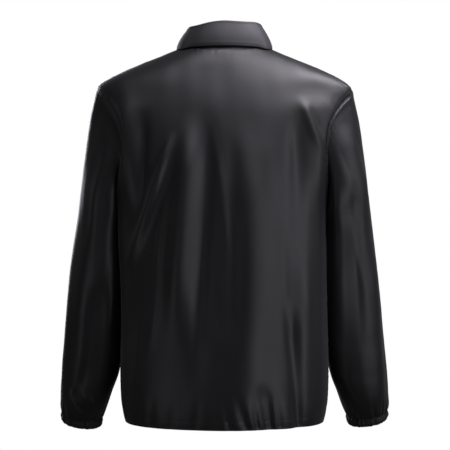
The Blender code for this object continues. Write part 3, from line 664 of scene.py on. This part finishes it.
rightSleeveCreases = [
    (1.15, 0.7, 1.05, 3.6, 0.05, 0.11, -0.0014), (0.62, 0.9, 0.56, 4.6, -0.04, 0.12, -0.001),
    (1.55, 2.6, 1.1, 6.0, 0.08, 0.12, 0.0013), (2.05, 8.0, 2.3, 10.2, 0.0, 0.18, -0.0052),
    (0.36, 5.2, 0.46, 10.2, 0.04, 0.12, -0.001), (1.75, 6.2, 1.55, 10.4, 0.05, 0.12, -0.001),
    (4.3, 3.6, 5.1, 6.4, 0.16, 0.09, 0.0026), (4.7, 6.6, 5.4, 9.2, 0.12, 0.085, 0.0022),
    (5.5, 1.8, 5.3, 6.6, 0.06, 0.09, -0.0018), (3.55, 4.8, 3.85, 9.2, 0.06, 0.09, 0.0018),
]
sleeveShape = {
    "roundness": 2.15, "innerRoundness": 4.0, "innerEnds": (8.0, 10.8), "capRings": 3.0, "spacing": 0.85,
    "rows": 132, "rightLift": 0.004, "liftBetween": (-0.62, -0.70),
}
cuffGathers = {
    "columns": 248, "rows": 17, "rise": 0.0019, "edgeShare": 0.35, "seamShare": 0.5, "seamReach": 0.006,
    "sleeveRise": 0.0042, "sleeveShare": 0.6, "sleevePeak": 0.012, "sleeveReach": 0.030,
    "sink": 0.0006, "sinkReach": 0.003,
    "waves": [(13, 0.4, 0.45), (19, 1.7, 0.40), (29, 2.9, 0.32), (41, 0.8, 0.16)],  # how many, start, share
}


def ringPoints(rings, place, turn, hand):
    keys, columns = np.arange(len(rings)), np.array(rings).T
    size = {name: flow(keys, column, place)[:, None] for name, column in zip(ringNames, columns)}
    inner = 0.0
    if rings is sleeveRings:  # squarer next to the body
        inner = (1 - eased(*sleeveShape["innerEnds"], place))[:, None] * (np.cos(turn) < 0)
    roundness = sleeveShape["roundness"]
    power = 2.0 / (roundness + (sleeveShape["innerRoundness"] - roundness) * inner)
    out, back = signedPower(np.cos(turn)[None, :], power), signedPower(np.sin(turn)[None, :], power)
    x = (size["outerX"] + size["innerX"]) / 2 + (size["outerX"] - size["innerX"]) / 2 * out
    y = size["middleY"] + size["halfDepth"] * back
    z = (size["outerZ"] + size["innerZ"]) / 2 + (size["outerZ"] - size["innerZ"]) / 2 * out
    if hand < 0:
        z = z + sleeveShape["rightLift"] * eased(*sleeveShape["liftBetween"], size["outerZ"])
    return np.stack([hand * x, y, z - size["backDrop"] * back], axis=-1)


def cuffWave(turn, hand):  # uneven gathers round a cuff, the same on the band and on the sleeve above it
    swing = 0.5 * np.sin(3 * turn)
    waves = cuffGathers["waves"]
    return sum(share * np.cos(count * turn + hand * start + swing) for count, start, share in waves)


def sleeveGrid(hand, folds, creases):
    backEdge = grids["back"][len(sideRows) - 1 :, -1 if hand > 0 else 0]
    frontEdge = grids["frontLeft" if hand > 0 else "frontRight"][len(sideRows) - 1 :, -1]
    loop = np.concatenate([backEdge[::-1], frontEdge[1:-1]])
    turn = np.linspace(0.0, 2 * math.pi, len(loop) + 1)[:-1]
    place = spaced(sleeveShape["rows"], True, True) ** sleeveShape["spacing"] * (len(sleeveRings) - 1)
    points = ringPoints(sleeveRings, place, turn, hand)
    own = eased(0.0, sleeveShape["capRings"], place)[:, None, None]
    points = (1 - own) * (loop[None] - points[:1]) + points
    normals = outward(points, gridNormals(points, True), points.mean(axis=1, keepdims=True))
    across, up = np.meshgrid(turn, place)
    points = points + normals * (foldRise(folds, across, up) + creaseRise(creases, across, up))[..., None]
    depth, reach, start, begins, full = seams["valley"][hand]
    fromSeam, fromTip = lengths(points, 0), np.minimum(turn, 2 * math.pi - turn)
    drop = depth * (1 - np.exp(-fromSeam / start)) * np.exp(-((fromSeam / reach) ** 2))
    drop = drop * eased(begins, full, fromTip) * (1 - eased(*seams["valleyEnds"], fromTip))
    points[..., 1] += drop * np.where(turn < math.pi, -1.0, seams["frontValley"])
    return points


grids["sleeveLeft"] = sleeveGrid(1, leftSleeveFolds, leftSleeveCreases)
grids["sleeveRight"] = sleeveGrid(-1, rightSleeveFolds, rightSleeveCreases)
tubes = ("sleeveLeft", "sleeveRight")


# points on a seam, matched to a hundredth of a millimetre, share one normal, so pieces meet edge to edge
def seamNormals():
    sums = {True: {}, False: {}}
    keys = {}
    for name, points in grids.items():
        tube = name in tubes
        centre = points.mean(axis=1, keepdims=True) if tube else bodyMiddle
        normals = outward(points, gridNormals(points, tube), centre)
        if not tube:
            normals[0] = levelled(normals[0])
        keys[name] = [tuple(key) for key in np.round(points * 1e5).astype(int).reshape(-1, 3).tolist()]
        for key, normal in zip(keys[name], normals.reshape(-1, 3)):
            sums[tube][key] = sums[tube].get(key, 0.0) + normal
    found = {}
    for name, points in grids.items():
        total = [sum(unit(part[key]) for part in sums.values() if key in part) for key in keys[name]]
        found[name] = unit(np.array(total).reshape(points.shape))
    return found


# hem casings: turned bands puffed between two rows of stitching
casing = {
    "puff": 0.0003, "wall": 0.0018, "edge": 0.0009, "sink": 0.0001, "sinkReach": 0.002, "rows": 16,
    "ripple": 0.00012, "ripplePitch": 0.0165, "reach": 0.060, "edgeShare": 0.45,
    "swell": 0.35, "swellWide": 2.2,  # how a gather swells on both sides, as shares of its depth and width
}

# gathers drawn in by the hem's elastic: x at the seam, slant, width, depth
backGathers = [
    (-0.007, 0.15, 0.0058, 0.0029), (-0.035, 0.3, 0.0077, 0.0033), (-0.057, 0.18, 0.0051, 0.0039),
    (-0.074, 0.12, 0.0045, 0.0029), (-0.083, 0.1, 0.0058, 0.0044), (-0.099, 0.1, 0.0067, 0.0026),
    (-0.132, 0.05, 0.0077, 0.003), (0.02, 0.1, 0.0072, 0.0013), (0.051, -0.1, 0.0067, 0.0017),
    (0.094, -0.12, 0.0083, 0.0015), (0.134, -0.06, 0.008, 0.0021), (0.158, 0.0, 0.0067, 0.0017),
]
frontGathers = [
    (0.038, 0.12, 0.0067, 0.0026), (0.061, -0.1, 0.0054, 0.0033), (0.079, 0.14, 0.0064, 0.0021),
    (0.108, -0.08, 0.0074, 0.0033), (0.133, 0.1, 0.0058, 0.0026), (0.155, 0.0, 0.007, 0.0018),
    (-0.041, -0.12, 0.0064, 0.003), (-0.068, 0.1, 0.0058, 0.0023), (-0.09, -0.1, 0.007, 0.0036),
    (-0.117, 0.06, 0.0061, 0.0026), (-0.146, -0.05, 0.0074, 0.0021),
]


def hemWave(points):
    total = casing["ripple"] * ripple(points[..., 0], casing["ripplePitch"], 0.4)
    level = -body["length"] + body["casing"]
    for x, slant, width, depth in backGathers if points[..., 1].mean() > 0 else frontGathers:
        off = (points[..., 0] - x - slant * (points[..., 2] - level)) / width
        swell = casing["swell"] * np.exp(-((off / casing["swellWide"]) ** 2))
        total = total - depth * (np.exp(-off * off) - swell)
    return total


def groove(gap):  # along a seam
    return -seams["groove"] * np.exp(-((gap / seams["grooveWidth"]) ** 2))


def finished(name):  # cloth with its slack, seam grooves and puckers; returns the outer skin
    points, normals = grids[name], skinNormals[name]
    tube = name in tubes
    fromTop = lengths(points[::-1], 0)[::-1]
    fromBottom = lengths(points, 0)
    seed = 1 + sorted(grids).index(name)
    reach, pitch, height = seams["puckerReach"], seams["puckerPitch"], seams["pucker"]
    inside = np.ones(points.shape[:-1])
    if tube:
        turn = np.linspace(0.0, 2 * math.pi, points.shape[1] + 1)[None, :-1]
        hand = 1 if name == "sleeveLeft" else -1
        ring = lengths(points[:1], 1)
        inside = eased(0.0, slack["calm"], fromBottom) * eased(0.0, slack["calm"], fromTop)
        strength = height * seams["sleevePucker"][hand]
        rise = groove(fromBottom) + strength * puckers(fromBottom, ring, reach, pitch, seed)
        if hand < 0:  # ridges beside the right armhole
            swing = np.cos(2 * math.pi * fromBottom / stripes["pitch"] + stripes["slant"] * turn)
            near = eased(*stripes["begin"], turn) * (1 - eased(*stripes["end"], turn))
            rise = rise + stripes["rise"] * swing * near * np.exp(-((fromBottom / stripes["reach"]) ** 2))
        decay = np.exp(-fromTop / cuffGathers["sleeveReach"])
        near = cuffGathers["seamShare"] * cuffGathers["rise"] * np.exp(-fromTop / cuffGathers["seamReach"])
        peak = fromTop / cuffGathers["sleevePeak"]
        swell = cuffGathers["sleeveRise"] * peak * np.exp(1 - peak) * cuffGathers["sleeveShare"]
        rise = rise + cuffWave(turn, hand) * (near + swell * decay)
        rise = rise - cuffGathers["sink"] * np.exp(-((fromTop / cuffGathers["sinkReach"]) ** 2))
    else:
        fromFirst, fromLast = lengths(points, 1), lengths(points[:, ::-1], 1)[:, ::-1]
        up, over = lengths(points[:, -1:], 0), lengths(points[-1:], 1)
        calm = [eased(0.0, slack["calm"], gap) for gap in (fromTop, fromBottom, fromLast, fromFirst)]
        inside = calm[0] * calm[1] * calm[2] * calm[3]
        sides = [fromLast, fromFirst] if name == "back" else [fromLast]
        aboveSide = np.arange(len(points)) >= len(sideRows) - 1
        onArm = np.where(aboveSide, 1.0, seams["sideSeam"])[:, None]  # side seams lie flatter
        rise = groove(np.minimum.reduce([*sides, fromTop])) * onArm
        for number, gap in enumerate(sides):
            strength = onArm * (1.0 + seams["secondSide"] * number) * height
            rise = rise + strength * puckers(gap, up, reach, pitch, seed + number)
        small = seams["topReach"]
        topPuckers = puckers(fromTop, over, small * reach, small * pitch, seed + 5)
        rise = rise + seams["topPucker"] * height * topPuckers
        rise = rise + hemWave(points) * (1 - eased(0.0, casing["reach"], fromBottom))
        rise = rise - casing["sink"] * np.exp(-((fromBottom / casing["sinkReach"]) ** 2))
    rise = rise + inside * slackRise(points, seed, slack["cloth"])
    return points + normals * rise[..., None]


skinNormals = seamNormals()
skins = {name: finished(name) for name in grids}
panelCuts = {
    "back": {"node": "back", "flat": (0.62, 0.70), "area": 0.365},
    "frontLeft": {"node": "front_left", "flat": (0.33, 0.68), "area": 0.187},
    "frontRight": {"node": "front_right", "flat": (0.33, 0.68), "area": 0.187},
    "sleeveLeft": {"node": "sleeve_left", "flat": (0.47, 0.60), "area": 0.218},
    "sleeveRight": {"node": "sleeve_right", "flat": (0.47, 0.60), "area": 0.218},
}
sleeveTuck = np.array([0.0, -0.0006, -0.0030])
pieces = {}
for name, cut in panelCuts.items():
    outer, inner = skins[name], skins[name] - body["cloth"] * skinNormals[name]
    if name in tubes:  # a sleeve's end is tucked into its cuff
        outer, inner = [np.concatenate([skin, skin[-1:] + sleeveTuck]) for skin in (outer, inner)]
    made = clothShell(name + "Panel", outer, inner, name in tubes, nylon)
    pieces[name] = settle(made, cut["node"])
print("panels and sleeves sewn")


def rounded(gap, radius):  # how far a skin sinks beside a turned edge
    short = np.clip(1 - gap / radius, 0.0, 1.0)
    return radius * (1 - np.sqrt(1 - short * short))


def bandShell(name, points, normals, wave, closed, material):  # rows run from the free edge to the seam
    toEdge, toSeam = lengths(points, 0), lengths(points[::-1], 0)[::-1]
    across = np.linspace(0.0, 1.0, points.shape[0])[:, None]
    sunk = casing["sink"] * np.exp(-((toSeam / casing["sinkReach"]) ** 2))
    puff = casing["puff"] * np.sin(math.pi * across) - sunk
    turned = rounded(toEdge, casing["edge"])
    skin = points + normals * (puff + wave - turned)[..., None]
    back = points + normals * (wave - casing["wall"] + turned)[..., None]
    return clothShell(name, skin, back, closed, material), skin


def hemBand(name, first, last, front, folds, creases, count, lift):
    rows = np.linspace(0.0, 1.0, casing["rows"] + 1)
    share = np.linspace(0.0, 1.0, count + 1)
    closer = eased(-0.15, 1.15, rows)  # rows lie a little closer at both edges
    closer = (closer - closer[0]) / (closer[-1] - closer[0])
    lean, height = np.meshgrid(first + (last - first) * share, -body["length"] + body["casing"] * closer)
    atSeam = min(lift, body["frontLift"])  # meets the panel at the seam
    lifts = (lift + (atSeam - lift) * eased(0.45, 1.0, rows))[:, None]
    points = foldedPanel(lean, height - hemDip(lean, front), front, folds, creases, share, lifts)
    normals = levelled(outward(points, gridNormals(points), bodyMiddle))
    least = casing["edgeShare"]
    strength = (least + (1 - least) * eased(0.0, 0.5, rows))[:, None]  # the free edge hangs straighter
    made, skin = bandShell(name, points, normals, hemWave(points) * strength, False, nylon)
    return made, skin, normals


lapX = -body["neckHalf"] * math.sin(body["lapTurn"])
lapEdge = bodyLean(np.array([lapX]), np.array([-body["length"] + body["casing"]]))[0]
# node, then first and last lean, front, folds, creases, steps and lift, then flat size
hemCuts = {
    "hemBack": ("hem_back", (-side, side, False, backFolds, [], 260, 0.0), (0.46, 0.018)),
    "hemFrontLeft": (
        "hem_front_left", (lapEdge, side, True, frontLeftFolds, [], 140, body["hemLift"]), (0.25, 0.018)
    ),
    "hemFrontRight": (
        "hem_front_right", (-lapEdge, -side, True, frontRightFolds, [], 140, 0.0), (0.25, 0.018)
    ),
}
bandSkins = {}
for name, (node, shape, _) in hemCuts.items():
    piece, skin, normals = hemBand(name, *shape)
    pieces[name] = settle(piece, node)
    bandSkins[name] = (skin, normals)
print("hem casings turned")

# cuffs: elastic drawn in, gathered all round
for name, node, hand in (("cuffLeft", "cuff_left", 1), ("cuffRight", "cuff_right", -1)):
    turn = np.linspace(0.0, 2 * math.pi, cuffGathers["columns"] + 1)[:-1]
    place = np.linspace(len(cuffRings) - 1.0, 0.0, cuffGathers["rows"])
    points = ringPoints(cuffRings, place, turn, hand)
    normals = outward(points, gridNormals(points, True), points.mean(axis=1, keepdims=True))
    rows = np.linspace(0.0, 1.0, cuffGathers["rows"])
    atEdge = cuffGathers["edgeShare"] + (1 - cuffGathers["edgeShare"]) * eased(0.0, 0.45, rows)
    atSeam = 1 - (1 - cuffGathers["seamShare"]) * eased(0.6, 1.0, rows)
    strength = (atEdge * atSeam)[:, None] * cuffGathers["rise"]
    piece, skin = bandShell(name, points, normals, cuffWave(turn, hand)[None, :] * strength, True, elastic)
    pieces[name] = settle(piece, node)
    bandSkins[name] = (skin, normals)
print("cuffs gathered")

# collar: stand, roll and turned fall in one piece
collar = {
    "wall": 0.0018, "rollRadius": 0.004, "bow": 0.003, "rows": (14, 14, 30), "columns": 211, "edge": 0.0008,
    "tuck": 0.002, "leftDrop": 0.007, "dropIn": (15.0, 65.0), "dropOut": (80.0, 120.0),
    "stitchIn": 0.006, "stitchDeep": 0.0004, "stitchWide": 0.0012, "calmRoot": 0.012, "calmEdge": 0.010,
}
collarNames = ("around", "stand", "lean", "edgeX", "edgeZ", "edgeClear")
collarRows = [
    (-45.0, 0.047, 0.014, 0.056, -0.0065, 0.0048), (0.0, 0.0545, 0.018, 0.0, -0.0057, 0.005),
    (45.0, 0.047, 0.014, 0.056, -0.0065, 0.0048), (68.0, 0.043, 0.009, 0.0745, -0.0095, 0.004),
    (90.0, 0.04, 0.007, 0.086, -0.0065, 0.0032), (125.0, 0.037, 0.006, 0.084, -0.052, 0.006),
    (150.0, 0.0325, 0.006, 0.075, -0.096, 0.006), (180.0, 0.029, 0.006, 0.054, -0.134, 0.006),
]
collarCurves = dict(zip(collarNames, np.array(collarRows).T))


def collarSection(turn):
    around = np.array([math.degrees(abs(turn))])
    size = {name: flow(collarCurves["around"], collarCurves[name], around)[0] for name in collarNames}
    if turn > 0:
        lower = eased(*collar["dropIn"], around[0]) * (1 - eased(*collar["dropOut"], around[0]))
        size["stand"] -= collar["leftDrop"] * lower
    front = abs(turn) > side
    lean, height = neckline(np.array([math.pi - abs(turn) if front else abs(turn)]), front)
    root = lifted(bodyPoint(lean, height, front), body["frontLift"] if front and turn > 0 else 0.0)[0]
    away, up = levelled(root), np.array([0.0, 0.0, 1.0])
    crown = root + up * (size["stand"] - collar["rollRadius"]) - away * size["lean"]
    edgeHeight = np.array([size["edgeZ"]])
    edge = bodyPoint(bodyLean(np.array([size["edgeX"]]), edgeHeight), edgeHeight, front)[0]
    edge = edge + levelled(edge) * size["edgeClear"]
    standRows, rollRows, fallRows = collar["rows"]
    tuck = root - up * collar["tuck"] - away * 0.5 * collar["tuck"]  # sewn in under the panels' edge
    radius = collar["rollRadius"]
    stand = [tuck + (crown - away * radius - tuck) * t for t in np.linspace(0.0, 1.0, standRows + 1)]
    turns = np.linspace(0.0, math.pi, rollRows + 1)[1:]
    roll = [crown + (up * math.sin(t) - away * math.cos(t)) * radius for t in turns]
    run = spaced(fallRows, False, True)[1:]
    fall = [roll[-1] + (edge - roll[-1]) * t + away * collar["bow"] * 4 * t * (1 - t) for t in run]
    points = np.array(stand + roll + fall)
    if turn < 0:
        points[:, 0] = -points[:, 0]
    return points


collarEnd = math.pi - body["lapTurn"]
collarTurns = np.linspace(-collarEnd, collarEnd, collar["columns"])
collarGrid = np.stack([collarSection(turn) for turn in collarTurns], axis=1)
collarNormals = gridNormals(collarGrid)
collarNormals = collarNormals * np.sign(np.sum(collarNormals[1] * levelled(collarGrid[1])))
toEdge = lengths(collarGrid[::-1], 0)[::-1]
toEnd = np.minimum(lengths(collarGrid, 1), lengths(collarGrid[:, ::-1], 1)[:, ::-1])
stitchGroove = -collar["stitchDeep"] * np.exp(-(((toEdge - collar["stitchIn"]) / collar["stitchWide"]) ** 2))
calm = eased(0.0, collar["calmRoot"], lengths(collarGrid, 0)) * eased(0.0, collar["calmEdge"], toEdge)
collarRise = stitchGroove + calm * slackRise(collarGrid, 9, slack["collar"])
turnedEdge = rounded(np.minimum(toEdge, toEnd), collar["edge"])
collarSkin = collarGrid + collarNormals * (collar["wall"] / 2 + collarRise - turnedEdge)[..., None]
collarBack = collarGrid - collarNormals * (collar["wall"] / 2 - collarRise - turnedEdge)[..., None]
collarMade = clothShell("collarPiece", collarSkin, collarBack, False, collarPaintedLightNylon)
pieces["collar"] = settle(collarMade, "collar")
print("collar set on")

# stitching: short sunk capsules of thread along the seams
stitch = {
    "length": 0.0024, "pitch": 0.0034, "radius": 0.00028, "sides": 6, "look": 0.0005,  # look: to find its way
    # rings of one stitch: along, girth, height
    "rings": [(-0.5, 0.35, -0.5), (-0.3, 0.95, 0.3), (0.3, 0.95, 0.3), (0.5, 0.35, -0.5)],
}


def stitchLine(path, normals):  # corner points of stitches laid along a path
    length = np.concatenate([[0.0], np.cumsum(np.linalg.norm(np.diff(path, axis=0), axis=1))])
    spots = np.arange(stitch["pitch"] / 2, length[-1], stitch["pitch"])

    def at(values, where):
        where = np.clip(where, 0, length[-1])
        return np.stack([np.interp(where, length, values[:, axis]) for axis in range(3)], axis=-1)

    middle, up = at(path, spots), unit(at(normals, spots))
    along = unit(at(path, spots + stitch["look"]) - at(path, spots - stitch["look"]))
    across = unit(np.cross(up, along))
    angles = np.arange(stitch["sides"]) * 2 * math.pi / stitch["sides"]
    corners = []
    for place, girth, lift in stitch["rings"]:
        for angle in angles:
            outFrom = across * math.cos(angle) * girth + up * (math.sin(angle) * girth + lift)
            corners.append(middle + along * place * stitch["length"] + outFrom * stitch["radius"])
    return np.stack(corners, axis=1)


def sewOn(name, lines):
    sides = stitch["sides"]
    blocks = np.concatenate([stitchLine(path, normals) for path, normals in lines])
    faces = []
    lastRing = len(stitch["rings"]) - 1
    for first in range(0, lastRing * sides, sides):
        for corner in range(sides):
            other = (corner + 1) % sides
            faces.append([first + corner, first + other, first + sides + other, first + sides + corner])
    faces += [list(range(sides))[::-1], [lastRing * sides + corner for corner in range(sides)]]
    starts = np.arange(len(blocks)) * blocks.shape[1]
    allFaces = [[corner + int(start) for corner in face] for start in starts for face in faces]
    mesh = bpy.data.meshes.new(name)
    mesh.from_pydata(blocks.reshape(-1, 3), [], allFaces)
    turnOut(mesh)
    mesh.materials.append(thread)
    made = bpy.data.objects.new(name, mesh)
    bpy.context.scene.collection.objects.link(made)
    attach(made, "root")
    return made


# rows and columns of stitches are counted in from the edges of the cloth
armSpan = slice(len(sideRows) + 4, -3)
seamLines = []
for name, column in (("back", 4), ("back", -5), ("frontLeft", -5), ("frontRight", -5)):  # beside the armholes
    seamLines.append((skins[name][armSpan, column], skinNormals[name][armSpan, column]))
bandLines = []
for name in ("hemBack", "hemFrontLeft", "hemFrontRight"):  # under the casing's seam
    skin, normals = bandSkins[name]
    bandLines.append((skin[-3], normals[-3]))
for name in ("cuffLeft", "cuffRight"):
    skin, normals = bandSkins[name]
    bandLines.append(tuple(np.concatenate([rows[-3], rows[-3, :1]]) for rows in (skin, normals)))
stitchRow = int(np.argmin(np.abs(toEdge[:, collar["columns"] // 2] - collar["stitchIn"])))
collarLines = [(collarSkin[stitchRow, 4:-4], collarNormals[stitchRow, 4:-4])]
placketWidth = 0.026
placketRow = 40  # where the width is measured
placket = int(np.argmin(np.abs(lengths(skins["frontLeft"], 1)[placketRow] - placketWidth)))
leftSides = (skins["frontLeft"][3:-4], skinNormals["frontLeft"][3:-4])
frontLines = [tuple(rows[:, column] for rows in leftSides) for column in (4, placket)]
pieces["seamStitches"] = sewOn("seamStitches", seamLines + frontLines)
pieces["bandStitches"] = sewOn("bandStitches", bandLines)
pieces["collarStitches"] = sewOn("collarStitches", collarLines)
print("stitching sewn")

# snap caps: one cap pressed from a disc, then copied down the front
snap = {
    "radius": 0.0070, "height": 0.0022, "top": -0.104, "bottom": -0.645, "count": 6, "sides": 40,
    "rim": 0.16, "ring": 0.10, "ringDeep": 0.00035, "dome": 0.25, "domeRise": 0.00020,
    "bevel": 0.00035, "bevelSteps": 3, "bevelAngle": 25, "smoothAngle": 40,
}

bpy.ops.object.select_all(action="DESELECT")
bpy.ops.mesh.primitive_cylinder_add(
    vertices=snap["sides"], radius=snap["radius"], depth=snap["height"],
    location=(0.0, 0.0, snap["height"] / 2),
)
cap = bpy.context.object
bpy.ops.object.transform_apply(location=True, rotation=True, scale=True)
bpy.ops.object.mode_set(mode="EDIT")
bpy.ops.mesh.select_mode(type="FACE")
bpy.ops.mesh.select_all(action="DESELECT")
shaping = bmesh.from_edit_mesh(cap.data)
for face in shaping.faces:
    face.select_set(face.normal.z > 0.9)  # the top
bmesh.update_edit_mesh(cap.data)
bpy.ops.mesh.inset(thickness=snap["radius"] * snap["rim"], depth=0.0)
bpy.ops.mesh.inset(thickness=snap["radius"] * snap["ring"], depth=-snap["ringDeep"])  # ring pressed in
bpy.ops.mesh.inset(thickness=snap["radius"] * snap["ring"], depth=snap["ringDeep"])
bpy.ops.mesh.inset(thickness=snap["radius"] * snap["dome"], depth=snap["domeRise"])  # low dome inside it
bpy.ops.object.mode_set(mode="OBJECT")
softEdge = cap.modifiers.new("softEdge", "BEVEL")
softEdge.width, softEdge.segments = snap["bevel"], snap["bevelSteps"]
softEdge.limit_method = "ANGLE"
softEdge.angle_limit = math.radians(snap["bevelAngle"])
bpy.ops.object.modifier_apply(modifier="softEdge")
bpy.ops.object.shade_smooth_by_angle(angle=math.radians(snap["smoothAngle"]))

leftSkin = skins["frontLeft"].reshape(-1, 3)
leftNormals = skinNormals["frontLeft"].reshape(-1, 3)
for number, height in enumerate(np.linspace(snap["top"], snap["bottom"], snap["count"])):
    nearest = int(np.argmin(np.sum((leftSkin[:, [0, 2]] - np.array([0.0, height])) ** 2, axis=1)))
    copy = bpy.data.objects.new(f"snapCap{number + 1}", cap.data.copy())
    bpy.context.scene.collection.objects.link(copy)
    seat = Matrix.Translation(Vector(leftSkin[nearest]))
    copy.data.transform(seat @ Vector(leftNormals[nearest]).to_track_quat("Z", "Y").to_matrix().to_4x4())
    copy.data.materials.append(enamel)
    settle(copy, f"snap_{number + 1}")
bpy.data.objects.remove(cap)
print("snaps set")

# what each piece was cut as
for piece in pieces.values():
    half = sum(face.area for face in piece.data.polygons) / 2
    print(piece.name, "area", round(half, 4), "faces", len(piece.data.polygons))
